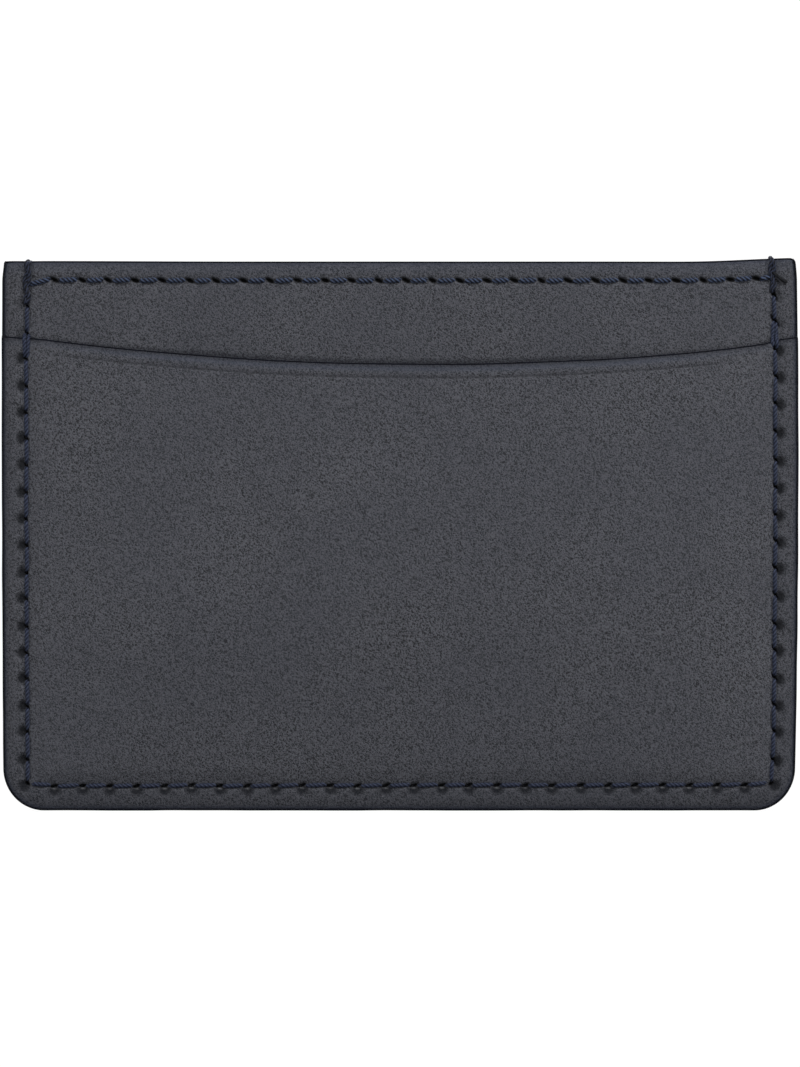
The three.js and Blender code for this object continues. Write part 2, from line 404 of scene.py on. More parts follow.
def hole_marks(x, z, holes, dimple_reach):
    """How far each point is into a slit, into the dimple pulled beside it and onto its burr, from 0 to 1."""
    slit = np.zeros_like(x)
    dimple = np.zeros_like(x)
    burr = np.zeros_like(x)
    for hole in holes:
        near = np.flatnonzero(np.maximum(np.abs(x - hole.place[0]), np.abs(z - hole.place[1])) < MARK_REACH)
        dx = x[near] - hole.place[0]
        dz = z[near] - hole.place[1]
        along = dx * hole.slit[0] + dz * hole.slit[1]
        across = dz * hole.slit[0] - dx * hole.slit[1]
        reach = np.hypot(along / (hole.length + 0.08), across / (hole.width + 0.06))
        slit[near] = np.maximum(slit[near], 1 - ease(reach, 0.62, 1.12))
        dz_dimple = dz + hole.dimple_drop
        out = dx * hole.outward[0] + dz_dimple * hole.outward[1]
        by = dz_dimple * hole.outward[0] - dx * hole.outward[1]
        mark = 1 - ease(np.hypot((out - dimple_reach) / DIMPLE_OUT, by / DIMPLE_ALONG), 0.4, 1.25)
        dimple[near] = np.maximum(dimple[near], mark)
        if hole.burr:
            lump = bell(np.hypot((out - BURR_PLACE) / BURR_OUT, by / BURR_ALONG), 1.0) * hole.burr
            burr[near] = np.maximum(burr[near], lump)
    return slit, dimple, burr


# ---- leather sheets

LEATHER_MARKS = ("slit", "dimple", "burr", "crease", "lip", "edge", "shade")


def pulled_by_seam(x, z, depth, holes, pull):
    """Presses the seam's groove, its slits and its dimples into an outer face, and raises the burrs."""
    slit, dimple, burr = hole_marks(x, z, holes, pull["reach"])
    groove = bell(seam_inset(x, z), 0.5) * pull["groove"]
    depth = depth - groove - pull["dimple"] * dimple - pull["slit"] * slit + BURR_HEIGHT * burr
    return depth, slit, dimple, burr


def margin_form(inset, z):
    """The margin is crowned halfway to the seam and turns down at the cut edge, and is worn at the bottom."""
    crown = CROWN_HEIGHT * bell(inset - CROWN_INSET, CROWN_HALF_WIDTH)
    at_bottom = ease(-z, -CORNER_RADIUS, -1.5)
    turn = EDGE_TURN + (EDGE_TURN_BOTTOM - EDGE_TURN) * at_bottom
    turned_edge = turn * (1 - ease(inset, 0.1, EDGE_TURN_REACH)) ** 2
    worn_down = BOTTOM_WEAR * at_bottom * (1 - ease(inset, 0.2, 3.0))
    return crown - turned_edge - worn_down


def across_middle(x, left_end, left_full, right_end, right_full):
    """0 at both ends of the mouth and 1 between the places where it is full."""
    return ease(x, left_end, left_full) * ease(-x, -right_end, -right_full)


def pocket_outer(holes):
    """The outer face of a pocket: its lip, the crease under it, the seam, and the painted shade under its
    mouth, in its margin and under its bottom seam.
    """

    def form(x, z):
        inset = outline_inset(x, z)
        drop = mouth_height(x) - z
        depth = layer_depth(POCKET, x, z) + POCKET["thickness"] + margin_form(inset, z)
        depth += 0.05 * sag(x, z) * ease(inset, 4, 16) + 0.012 * dent(x, z)
        depth, slit, dimple, burr = pulled_by_seam(x, z, depth, holes, POCKET_PULL)
        crease_share = across_middle(x, -46.5, -38, 44.5, 36)
        crease = bell(drop - CREASE_DROP, CREASE_HALF_WIDTH) * crease_share
        swollen_lip = bell(drop - 1.0, 0.55) * crease_share
        turned_lip = (1 - ease(drop, 0.1, 0.7)) ** 2
        depth += 0.03 * swollen_lip - CREASE_DEPTH * crease - LIP_TURN * turned_lip
        lip_share = 0.35 + 0.65 * across_middle(x, -46.5, -30, 44.5, 30)
        # Painted shade: darker just under the mouth, in the margin, more so at the bottom, and under the
        # bottom seam.
        under_mouth = 1.0 - ease(drop, 0.2, 0.8)
        at_bottom = ease(-z, -CORNER_RADIUS, -2.5)
        in_margin = (0.26 + 0.08 * at_bottom) * (1 - ease(inset, 0.8, MARGIN_WIDTH))
        under_seam = 0.4 * at_bottom * bell(inset - 2.4, 0.75)
        return depth, {
            "slit": slit,
            "dimple": dimple,
            "burr": burr,
            "crease": crease,
            # A painted highlight, with the navy cast of the edge dye, on the turned lip under the mouth.
            "lip": bell(drop - 0.62, 0.36) * lip_share,
            "edge": 1 - ease(inset, 0.3, 0.95),
            "shade": np.clip(under_mouth + in_margin + under_seam, 0, 1),
        }

    return form


def panel_outer(holes, row_holes):
    """The outer face of a panel: the row of stitches, the top edge, and the painted shade over the pocket's
    mouth and across the panel.
    """

    def form(x, z):
        inset = outline_inset(x, z)
        drop = HEIGHT - z
        depth = layer_depth(PANEL, x, z) + PANEL["thickness"] + margin_form(inset, z)
        depth += 0.03 * sag(x, z) * ease(inset, 4, 16) + 0.012 * dent(x, z)
        depth, slit, dimple, burr = pulled_by_seam(x, z, depth, holes, PANEL_PULL)
        row_slit, _, _ = hole_marks(x, z, row_holes, ROW_PULL["reach"])
        along_row = across_middle(x, -47.5, -46, 47.5, 46)
        row_groove = bell(z - TOP_ROW_HEIGHT, 0.55) * along_row
        turned_top = (1 - ease(drop, 0.1, 0.9)) ** 2
        depth -= ROW_PULL["groove"] * row_groove + ROW_PULL["slit"] * row_slit + 0.22 * turned_top
        # Painted shadow over the pocket's mouth, deeper in the middle, and painted shade over the whole
        # panel, more in its margin.
        middle_share = across_middle(x, -44, -20, 42, 20)
        rise = z - mouth_height(x)
        over_mouth = (0.5 + 0.45 * middle_share) * (1 - ease(rise, 0.1, 0.4 + 0.6 * middle_share))
        in_margin = 0.09 + 0.16 * (1 - ease(inset, 0.8, MARGIN_WIDTH))
        return depth, {
            "slit": np.maximum(slit, row_slit),
            "dimple": dimple * 0.4,
            "burr": burr,
            "crease": 0 * x,
            # A painted highlight, with the navy cast of the edge dye, in a band under the top edge.
            "lip": 0.4 * bell(drop - 1.0, 0.5),
            # Along the top edge this is painted shade as well as dye bled in from the paint.
            "edge": np.maximum(1 - ease(inset, 0.3, 0.9), 0.9 * (1 - ease(drop, 0.3, 0.85))),
            "shade": np.maximum(over_mouth, in_margin),
        }

    return form


def plain_face(layer, outward):
    """A face that isn't looked at closely: the inner face of a layer, or the one thickness further out."""

    def form(x, z):
        depth = layer_depth(layer, x, z) + outward * layer["thickness"]
        return depth, {mark: 0 * x for mark in LEATHER_MARKS}

    return form


def spaced(start, end, pitch):
    """Evenly spaced values from start to end, about a pitch apart."""
    steps = max(1, round(abs(end - start) / pitch))
    return np.linspace(start, end, steps + 1)


def down_side(top, lowest, first_drops, pitch):
    """Heights down a side, from its top to where the round corner starts."""
    return np.r_[top - first_drops, spaced(top - first_drops[-1], lowest, pitch)[1:]]


def u_line(inset, top, pitch, first_drops):
    """Points down the left side at an inset, round the bottom and up the right side, all of one spacing."""
    side = HALF_WIDTH - inset
    radius = max(CORNER_RADIUS - inset, 0.0)
    left_heights = down_side(float(top(-side)), inset + radius, first_drops, pitch)
    right_heights = down_side(float(top(side)), inset + radius, first_drops, pitch)
    points = [np.c_[np.full_like(left_heights, -side), left_heights]]
    turn = spaced(0, math.pi / 2, pitch / CORNER_RADIUS)[1:-1]
    if radius > 0.3:
        points.append(np.c_[-side + radius - radius * np.cos(turn), inset + radius - radius * np.sin(turn)])
    bottom = spaced(-side + radius, side - radius, pitch)
    bottom = bottom if radius > 0 else bottom[1:-1]
    points.append(np.c_[bottom, np.full_like(bottom, inset)])
    if radius > 0.3:
        turn = turn[::-1]
        points.append(np.c_[side - radius + radius * np.cos(turn), inset + radius - radius * np.sin(turn)])
    points.append(np.c_[np.full_like(right_heights, side), right_heights][::-1])
    return np.concatenate(points)


def sheet_outline(top):
    """The cut line of a sheet, anticlockwise and set in by its paint, and its top part by itself."""
    sides = u_line(PAINT_THICKNESS, top, OUTLINE_PITCH, START_DROPS)
    across = spaced(HALF_WIDTH - PAINT_THICKNESS, -HALF_WIDTH + PAINT_THICKNESS, ROW_PITCH)[1:-1]
    top_line = np.c_[across, top(across)]
    return np.concatenate([sides, top_line]), np.concatenate([sides[:1], top_line[::-1], sides[-1:]])


# Height of the top row of the even field, clear of the rows that follow the top line
FIELD_TOP = {mouth_cut: MOUTH_LOWEST - 5.5, top_cut: HEIGHT - 14.5}


def middle_points(top, drops, row_pitch, pitch):
    """Rows under the top edge, then an even field down to the bottom line."""
    reach = HALF_WIDTH - MIDDLE_INSET
    row = spaced(-reach, reach, row_pitch)
    points = [np.c_[row, top(row) - drop] for drop in drops]
    for number, z in enumerate(spaced(MIDDLE_INSET, FIELD_TOP[top], pitch)):
        row = spaced(-reach, reach, pitch) + (0.25 if number % 2 else -0.25) * pitch
        points.append(np.c_[row, np.full_like(row, z)])
    return np.concatenate(points)


def pocket_points():
    """The close-set points of a pocket's outer face."""
    lines = [u_line(inset, mouth_cut, FINE_PITCH, START_DROPS) for inset in FINE_INSETS]
    return np.concatenate([*lines, middle_points(mouth_cut, MOUTH_DROPS, ROW_PITCH, MIDDLE_PITCH)])


def panel_points():
    """The points of a panel's outer face, close-set only above the mouth, where it shows."""
    points = []
    for inset in FINE_INSETS:
        line = u_line(inset, top_cut, FINE_PITCH, START_DROPS)
        points.append(line[line[:, 1] > mouth_height(line[:, 0]) - 1.2])
    points.append(middle_points(top_cut, START_DROPS[1:], MIDDLE_PITCH, MIDDLE_PITCH))
    row = spaced(-ROW_REACH, ROW_REACH, ROW_PITCH)
    points += [np.c_[row, mouth_height(row) + rise] for rise in MOUTH_RISES]
    row = spaced(-ROW_REACH, ROW_REACH, FINE_PITCH)
    points += [np.c_[row, HEIGHT - PAINT_THICKNESS - drop + 0 * row] for drop in ROW_DROPS]
    return np.concatenate(points)


def coarse_points(top):
    """Points for a face that isn't looked at closely."""
    points = [u_line(inset, top, 1.2, START_DROPS) for inset in COARSE_INSETS]
    points.append(middle_points(top, COARSE_DROPS, COARSE_PITCH, COARSE_PITCH))
    return np.concatenate(points)


def triangulated(outline, top_line, inner):
    """Triangles over an outline and the points inside it. Those above its hollow top line are left out."""
    inset = outline_inset(inner[:, 0], inner[:, 1])
    below = inner[:, 1] < np.interp(inner[:, 0], top_line[:, 0], top_line[:, 1]) - 0.05
    inner = inner[(inset > PAINT_THICKNESS + 0.05) & below]
    points = np.concatenate([outline, inner])
    count = len(outline)
    ring = [(i, (i + 1) % count) for i in range(count)]
    found = delaunay_2d_cdt([Vector(p) for p in points], ring, [], 1, 1e-6, True)
    vertices = np.array([tuple(v) for v in found[0]])
    faces = np.array(found[2])
    middle = vertices[faces].mean(1)
    faces = faces[middle[:, 1] < np.interp(middle[:, 0], top_line[:, 0], top_line[:, 1])]
    place_of = {old: new for new, olds in enumerate(found[3]) for old in olds}
    return vertices, faces, np.array([place_of[i] for i in range(count)])


def leather_sheet(top, outer_points, outer_form, inner_form):
    """A closed sheet: an outer face and an inner face in relief, joined round the cut edge."""
    outline, top_line = sheet_outline(top)
    outer, outer_faces, outer_ring = triangulated(outline, top_line, outer_points)
    inner, inner_faces, inner_ring = triangulated(outline, top_line, coarse_points(top))
    outer_depth, outer_marks = outer_form(outer[:, 0], outer[:, 1])
    inner_depth, inner_marks = inner_form(inner[:, 0], inner[:, 1])
    outer_vertices = np.c_[outer[:, 0], -outer_depth, outer[:, 1]]
    inner_vertices = np.c_[inner[:, 0], -inner_depth, inner[:, 1]]
    vertices = np.concatenate([outer_vertices, inner_vertices])
    inner_ring = inner_ring + len(outer)
    a, b = outer_ring, np.roll(outer_ring, -1)
    c, d = inner_ring, np.roll(inner_ring, -1)
    walls = np.concatenate([np.c_[b, a, c], np.c_[b, c, d]])
    faces = np.concatenate([outer_faces, inner_faces[:, ::-1] + len(outer), walls])
    marks = {name: np.concatenate([outer_marks[name], inner_marks[name]]) for name in outer_marks}
    return vertices, faces, marks


# ---- skins, threads and edge paint

def skin(rings):
    """A closed body through rings of points that all have the same count, capped at both ends."""
    rings = np.asarray(rings, float)
    count, around = rings.shape[:2]
    ring = np.arange(around)
    following = np.roll(ring, -1)
    start = (np.arange(count - 1) * around)[:, None]
    a, b = start + ring, start + following
    quads = np.stack([a, b, b + around, a + around], -1).reshape(-1, 4)
    sides = np.concatenate([quads[:, [0, 1, 2]], quads[:, [0, 2, 3]]])
    vertices = np.concatenate([rings.reshape(-1, 3), rings[0].mean(0)[None], rings[-1].mean(0)[None]])
    first, last = count * around, count * around + 1
    end = (count - 1) * around
    start_cap = np.c_[following, ring, np.full(around, first)]
    end_cap = np.c_[end + ring, end + following, np.full(around, last)]
    return vertices, np.concatenate([sides, start_cap, end_cap])


def merged(parts):
    """Several bodies in one mesh."""
    vertices, faces, marks, offset = [], [], {}, 0
    for part_vertices, part_faces, part_marks in parts:
        vertices.append(part_vertices)
        faces.append(part_faces + offset)
        offset += len(part_vertices)
        for name, values in part_marks.items():
            marks.setdefault(name, []).append(values)
    marks = {name: np.concatenate(values) for name, values in marks.items()}
    return np.concatenate(vertices), np.concatenate(faces), marks


def twisted_thread(path, radius, sideways, start_turn=0.0, around=15, darkening=None, pitch=TWIST_PITCH):
    """Thread of three plies twisted together along a path. sideways is square to the path all along it."""
    path = np.asarray(path, float)
    rough_run = np.r_[0, np.cumsum(np.linalg.norm(np.diff(path, axis=0), axis=1))]
    run = spaced(0, rough_run[-1], TWIST_STEP)
    # These values paint the thread dark: painted shade where a stitch dives into a hole, and darkness all
    # along the loose end.
    depth = np.zeros(len(path)) if darkening is None else darkening
    depth = np.interp(run, rough_run, depth)
    path = np.stack([np.interp(run, rough_run, line) for line in path.T], 1)
    tangent = np.gradient(path, axis=0)
    tangent /= np.linalg.norm(tangent, axis=1)[:, None]
    side = np.asarray(sideways, float)
    side = side - tangent * (tangent @ side)[:, None]
    side /= np.linalg.norm(side, axis=1)[:, None]
    up = np.cross(tangent, side)
    turn = start_turn + 2 * math.pi * run / pitch
    angle = np.linspace(0, 2 * math.pi, around, endpoint=False)
    lobe = np.abs(np.cos(PLIES / 2 * (angle[None] - turn[:, None])))
    reach = radius * (PLY_VALLEY + PLY_CREST * lobe**0.8)
    rings = (
        path[:, None]
        + side[:, None] * (reach * np.cos(angle))[..., None]
        + up[:, None] * (reach * np.sin(angle))[..., None]
    )
    vertices, faces = skin(rings)
    ply = np.r_[lobe.ravel(), 0.5, 0.5]
    depth = np.r_[np.repeat(depth, around), depth[0], depth[-1]]
    return vertices, faces, {"ply": ply, "darkening": depth}


def stitch(start, end, surface, radius, lift, dive, turn, tilt=0.0, samples=41):
    """One stitch: up out of a hole, along the face and down into the next. It dives at start and end."""
    start, end = np.asarray(start, float), np.asarray(end, float)
    along = end - start
    length = np.linalg.norm(along)
    along /= length
    across = np.array([-along[1], along[0]])
    angle = np.linspace(0, math.pi, samples)
    share = np.cos(angle)
    run = -np.sign(share) * np.abs(share) ** 0.55 * length / 2
    rise = np.sin(angle) ** 0.5
    middle = (start + end) / 2
    flat = middle + along * run[:, None] + across * (tilt * run)[:, None]
    top = surface(flat[:, 0], flat[:, 1]) + lift
    depth = top - (1 - rise) * dive
    path = np.c_[flat[:, 0], -depth, flat[:, 1]]
    sideways = np.array([across[0], 0.0, across[1]])
    # The thread is painted dark where it dives into a hole: painted shade.
    return twisted_thread(path, radius, sideways, turn, darkening=1 - ease(rise, 0.25, 0.8))


def stitches_between(holes, surface, radius, lift, dive, draw, visible_gap, tilt):
    """A stitch from each hole to the next."""
    parts = []
    for here, there in zip(holes, holes[1:]):
        along = there.place - here.place
        along /= np.linalg.norm(along)
        start = here.place + along * visible_gap
        end = there.place - along * visible_gap
        parts.append(stitch(start, end, surface, radius, lift, dive, draw.uniform(0, 6.3), tilt))
    return parts


def seam_surface(x, z):
    """The face that the seam's thread lies on: the panel above the mouth and the pocket below it."""
    above = ease(z - mouth_height(x), -0.35, 0.55)
    panel_face = layer_depth(PANEL, x, z) + PANEL["thickness"] - 0.12
    pocket_face = layer_depth(POCKET, x, z) + POCKET["thickness"] - 0.2
    return pocket_face + (panel_face - pocket_face) * above


def panel_surface(x, z):
    """The face that the top row's thread lies on."""
    return layer_depth(PANEL, x, z) + PANEL["thickness"] - 0.1


def lining_surface(x, z):
    """The face that the top row's lower thread lies on, inside the centre pocket."""
    return -layer_depth(LINING, x, z) + 0.02


def doubled(hole_from, hole_to, radius, draw):
    """A stitch sewn twice, its two runs lying against each other and crossing."""
    parts = []
    along = hole_to.place - hole_from.place
    along /= np.linalg.norm(along)
    across = np.array([-along[1], along[0]])
    for side, early, crossing in ((-0.27, 0.16, 0.12), (0.27, 0.3, -0.08)):
        start = hole_from.place + along * early + across * side
        end = hole_to.place - along * (0.5 - early) + across * (side + crossing)
        parts.append(stitch(start, end, seam_surface, radius, SEAM_LIFT, ROW_DIVE, draw.uniform(0, 6.3)))
    return parts


def seam_threads(holes, radius, lift, seed):
    """The stitches round the sides and the bottom. Where the seam crosses the mouth they are sewn twice."""
    draw = np.random.default_rng(SEED + seed)
    parts = []
    for here, there in zip(holes, holes[1:]):
        crossing = mouth_height(here.place[0])
        lower, upper = sorted((here.place[1], there.place[1]))
        if lower - 0.6 < crossing < upper + 0.6 and upper - lower > 1:
            parts += doubled(here, there, radius * 0.92, draw)
            continue
        on_bottom = upper - lower < 1
        tilt = 0.06 if on_bottom else 0.02
        gap = BOTTOM_GAP if on_bottom else SIDE_GAP
        parts += stitches_between([here, there], seam_surface, radius, lift, SEAM_DIVE, draw, gap, tilt)
    return merged(parts)


def top_row_threads(holes):
    """The row under the top edge. Its first and last stitches run in under the corner wraps."""
    draw = np.random.default_rng(SEED + 20)
    lay = (panel_surface, NEEDLE_RADIUS, ROW_LIFT, ROW_DIVE)
    parts = stitches_between(holes, *lay, draw, ROW_GAP, 0.06)
    first, last = holes[0].place, holes[-1].place
    lead_in = stitch((-ROW_REACH + 0.1, TOP_ROW_HEIGHT - 0.5), first - (0.75, -0.04), *lay, 1)
    lead_out = stitch(last + (0.75, -0.05), (ROW_REACH, TOP_ROW_HEIGHT + 0.12), *lay, 2)
    return merged([lead_in, *parts, lead_out])


def top_row_bobbin(holes):
    """The lower thread of the top row, drawn tight along the lining."""
    draw = np.random.default_rng(SEED + 30)
    return merged(stitches_between(holes, lining_surface, BOBBIN_RADIUS * 0.8, 0.06, 0.3, draw, 0.5, 0.0))


def wrap_run(x, side, first_hole, run, draw):
    """One run of a wrap: out of the first hole, up the front, over the top edge and down the back."""
    offset, sway, low, radius = run
    margin = PANEL["glued"] + PANEL["thickness"]
    bottom = first_hole + 0.42 + low
    out = margin + radius * 0.5
    leg = np.linspace(bottom, HEIGHT - 0.5, 40)
    bend = ease(leg, HEIGHT - 1.6, HEIGHT - 0.4) * 0.05
    front = np.c_[np.full(40, -out) - bend, leg]
    over = np.linspace(math.pi, 0, 25)[1:-1]
    rise = 0.54 + 0.12 * (side > 0) - 0.8 * abs(offset)
    arch = np.c_[np.cos(over) * (out + 0.05), HEIGHT - 0.5 + np.sin(over) ** 0.7 * rise]
    hook_depths = np.array([0.75, 0.3, -0.02]) - margin
    hook_heights = np.array([0.12, -0.08, -0.06]) + bottom
    hook = np.c_[hook_depths, hook_heights]
    to_back = (-1, 1)
    route = np.concatenate([hook, front, arch, front[::-1] * to_back, hook[::-1] * to_back])
    gather = 1 - 0.6 * (1 - ease(route[:, 1], bottom - 0.1, bottom + 0.7))
    lean = (offset + sway * np.sin(route[:, 1] * 2.3 + 2 * side + 9 * offset)) * gather
    path = np.c_[x + lean, route]
    return twisted_thread(path, radius, (1.0, 0.0, 0.0), draw.uniform(0, 6), pitch=WRAP_PITCH)


def loose_tail(x):
    """The short loose end, which hooks outward from a wrap."""
    samples = 30
    bow = np.linspace(0, 1, samples)
    face = panel_surface(x + 0 * bow, HEIGHT - 3 + 0 * bow) + 0.26
    drop = 1.7 + 1.25 * np.sin(bow * 1.5) ** 1.2
    path = np.c_[x - 0.05 + 1.75 * bow, -face - 0.22 * np.sin(bow * 2.6), HEIGHT - drop]
    # The whole loose end is painted nearly black.
    black = np.full(samples, 0.85)
    return twisted_thread(path, TAIL_RADIUS, (0.0, 1.0, 0.0), around=9, darkening=black, pitch=WRAP_PITCH)


def corner_wrap(side, first_hole, tail):
    """The locking stitches over the top edge, three runs bundled together, and any loose end."""
    x = RIGHT_WRAP if side > 0 else LEFT_WRAP
    draw = np.random.default_rng(SEED + 40 + side)
    parts = [wrap_run(x, side, first_hole, run, draw) for run in WRAP_RUNS]
    if tail:
        parts.append(loose_tail(x))
    return merged(parts)


def paint_section(outer, inner, thickness, lap, samples=13):
    """A domed strip of paint over a cut edge, as inset and depth, from its inner face to its outer one."""
    angle = np.linspace(-math.pi / 2, math.pi / 2, samples)
    half = (outer - inner) / 2
    depth = (outer + inner) / 2 + half * np.sign(np.sin(angle)) * np.abs(np.sin(angle)) ** 0.62
    reach = thickness + lap
    inset = reach * (1 - np.cos(angle) ** 0.55)
    closing_depth = np.array([outer - 0.14, inner + 0.14])
    return np.r_[inset, [thickness + 0.02] * 2], np.r_[depth, closing_depth]


def perimeter_paint():
    """The paint round the sides and the bottom, thinner above the two mouths, where only the panels meet."""
    outline = u_line(0.0, top_height, PAINT_PITCH, END_DROPS)
    before, after = np.roll(outline, 1, 0), np.roll(outline, -1, 0)
    before[0], after[-1] = outline[0], outline[-1]
    direction = after - before
    direction /= np.linalg.norm(direction, axis=1)[:, None]
    inward = np.c_[-direction[:, 1], direction[:, 0]]
    rings = []
    panel_edge = PANEL["glued"] + PANEL["thickness"] - 0.11
    pocket_edge = POCKET["glued"] + POCKET["thickness"] - 0.11
    for (x, z), into in zip(outline, inward):
        front = pocket_edge + (panel_edge - pocket_edge) * ease(z - mouth_height(x), -0.35, 0.1)
        back = pocket_edge + (panel_edge - pocket_edge) * ease(z - mouth_height(-x), -0.35, 0.1)
        lap = SIDE_LAP * ease(z, 0.5, CORNER_RADIUS)
        inset, depth = paint_section(front, -back, PAINT_THICKNESS, lap, PAINT_SAMPLES)
        lines = sum(bell(np.abs(depth) - level, LAYER_LINE_HALF_WIDTH) for level in LAYER_LINES)
        wander = PAINT_WANDER * np.maximum(0, 1 + edge_wander(x, z))
        inset = inset + wander * np.sign(inset) + LAYER_LINE_DEPTH * np.clip(lines, 0, 1)
        end_share = 1 - np.clip((HEIGHT - z) / END_ROUNDING, 0, 1)
        rounding = 1 - np.sqrt(1 - end_share**2)
        depth = depth * (1 - END_NARROWING * rounding)
        rings.append(np.c_[x + into[0] * inset, -depth, z + into[1] * inset])
    vertices, faces = skin(rings[::-1])
    return vertices, faces, {}


def top_paint(inner_layer, outer_form, top, cut, lap, end_gap):
    """The paint along the cut edge of a mouth or of the top."""
    thickness = float(top(0.0) - cut(0.0))
    rings = []
    reach = HALF_WIDTH - end_gap
    for x in spaced(-reach, reach, ROW_PITCH):
        edge = float(top(x))
        under = np.array([edge - thickness - 0.02])
        outer = float(outer_form(np.array([x]), under)[0][0])
        inner = float(layer_depth(inner_layer, np.array([x]), under)[0])
        inset, depth = paint_section(outer + 0.004, inner - 0.01, thickness, lap)
        rings.append(np.c_[np.full_like(inset, x), -depth, edge - inset])
    vertices, faces = skin(rings)
    return vertices, faces, {}


# ---- placing the pieces


def settled(points):
    """The holder isn't perfectly straight: its sides bow a little and the top right corner stands up."""
    x, y, z = points.T
    radius = np.where(x < 0, TOP_LEFT_RADIUS, TOP_RIGHT_RADIUS)
    over_side = np.maximum(np.abs(x) - (HALF_WIDTH - radius), 0)
    over_top = np.maximum(z - (HEIGHT - radius), 0) * (z < HEIGHT + 0.2)
    spread = np.hypot(over_side, over_top)
    pull = 1 - np.where(spread > 0, np.maximum(over_side, over_top) / np.where(spread > 0, spread, 1), 1)
    x = x - np.sign(x) * over_side * pull
    z = z - over_top * pull
    left_bow = 0.09 + 0.2 * ((z - 54) / 50) ** 2 + 0.22 * ease(z, 66.2, 69.0)
    right_bow = 0.32 * ((z - 44) / 34) ** 2 + 0.16 * ease(z, 66.0, 69.0)
    share = np.clip(np.abs(x) / HALF_WIDTH, 0, 1) ** 3
    x = x + share * np.where(x < 0, left_bow, -right_bow)
    height_share = np.clip(z / HEIGHT, 0, 1.1)
    lift = 0.5 * ease(x, 34.0, 50.5) ** 1.3 + 0.1 * ease(-x, 20.0, 48.0)
    z = z + lift * height_share**3
    return np.c_[x, y, z]


def finish_piece(node, shape, material, back=False):
    """Turns a shape in millimetres into a piece that rides on the holder and stands for its node."""
    name = f"fine_{node}"
    vertices, faces, marks = shape
    if back:
        vertices = vertices * (-1, -1, 1)
    vertices = settled(vertices) * MM
    mesh = bpy.data.meshes.new(name)
    mesh.from_pydata([], [], [])
    mesh.vertices.add(len(vertices))
    mesh.vertices.foreach_set("co", vertices.astype(np.float32).ravel())
    mesh.loops.add(faces.size)
    mesh.loops.foreach_set("vertex_index", faces.astype(np.int32).ravel())
    mesh.polygons.add(len(faces))
    mesh.polygons.foreach_set("loop_start", np.arange(0, faces.size, 3, dtype=np.int32))
    mesh.update(calc_edges=True)
    mesh.validate()
    mesh.shade_smooth()
    for mark, values in marks.items():
        mesh.attributes.new(mark, "FLOAT", "POINT").data.foreach_set("value", values.astype(np.float32))
    piece = bpy.data.objects.new(name, mesh)
    bpy.context.scene.collection.objects.link(piece)
    mesh.materials.append(material)
    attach(piece, "root")
    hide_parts(node)


# ---- finishes


class Signal:
    """A value in a finish. A sum or product of signals adds a Math node."""

    def __init__(self, finish, socket):
        self.finish = finish
        self.socket = socket

    def math(self, operation, other):
        return self.finish.node("ShaderNodeMath", {"operation": operation}, {0: self, 1: other})

    def __add__(self, other):
        return self.math("ADD", other)

    __radd__ = __add__

    def __mul__(self, other):
        return self.math("MULTIPLY", other)

    __rmul__ = __mul__


class Finish:
    """The shader of a material or of the world, built node by node."""

    def __init__(self, owner):
        self.owner = owner
        owner.use_nodes = True
        self.nodes = owner.node_tree.nodes
        self.links = owner.node_tree.links
        self.nodes.clear()

    def node(self, kind, settings=None, inputs=None, output=0):
        """Adds a node: settings first, then the values or signals of its sockets."""
        made = self.nodes.new(kind)
        for name, value in (settings or {}).items():
            setattr(made, name, value)
        for name, value in (inputs or {}).items():
            if isinstance(value, Signal):
                self.links.new(value.socket, made.inputs[name])
            else:
                made.inputs[name].default_value = value
        return Signal(self, made.outputs[output]) if made.outputs else None

    def place(self):
        return self.node("ShaderNodeTexCoord", output="Object")

    def mark(self, name):
        return self.node("ShaderNodeAttribute", {"attribute_name": name}, output="Fac")

    def leaning(self, degrees, stretch):
        """Places turned about the depth axis and drawn out, so that a pattern runs in short strokes."""
        inputs = {"Vector": self.place(), "Rotation": (0, math.radians(degrees), 0), "Scale": (1, 1, stretch)}
        return self.node("ShaderNodeMapping", {"vector_type": "TEXTURE"}, inputs)

    def noise(self, size_mm, detail=2.0, roughness=0.5, distortion=0.0, place=None):
        inputs = {"Vector": place or self.place(), "Scale": 1 / (size_mm * MM), "Detail": detail}
        inputs.update({"Roughness": roughness, "Distortion": distortion})
        return self.node("ShaderNodeTexNoise", inputs=inputs, output="Fac")

    def cells(self, size_mm):
        inputs = {"Vector": self.place(), "Scale": 1 / (size_mm * MM)}
        return self.node("ShaderNodeTexVoronoi", {"feature": "F1"}, inputs, output="Distance")

    def between(self, value, low, high, start=0.0, end=1.0):
        inputs = {"Value": value, "From Min": low, "From Max": high, "To Min": start, "To Max": end}
        return self.node("ShaderNodeMapRange", {"interpolation_type": "SMOOTHSTEP"}, inputs, output="Result")

    def blend(self, share, first, second):
        """A mix of two colours."""
        settings = {"data_type": "RGBA", "blend_type": "MIX"}
        first = first if isinstance(first, Signal) else (*first, 1)
        second = second if isinstance(second, Signal) else (*second, 1)
        return self.node("ShaderNodeMix", settings, {0: share, 6: first, 7: second}, output=2)

    def relief(self, height, distance_mm, strength=1.0):
        inputs = {"Height": height, "Distance": distance_mm * MM, "Strength": strength}
        return self.node("ShaderNodeBump", inputs=inputs, output="Normal")

    def surface(self, **inputs):
        """Ends the material in one Principled shader, with a space for each _ in a socket's name."""
        names = {name.replace("_", " "): value for name, value in inputs.items()}
        shader = self.node("ShaderNodeBsdfPrincipled", inputs=names, output="BSDF")
        self.node("ShaderNodeOutputMaterial", inputs={"Surface": shader})
        return self.owner


def new_finish(name):
    return Finish(bpy.data.materials.new(name))


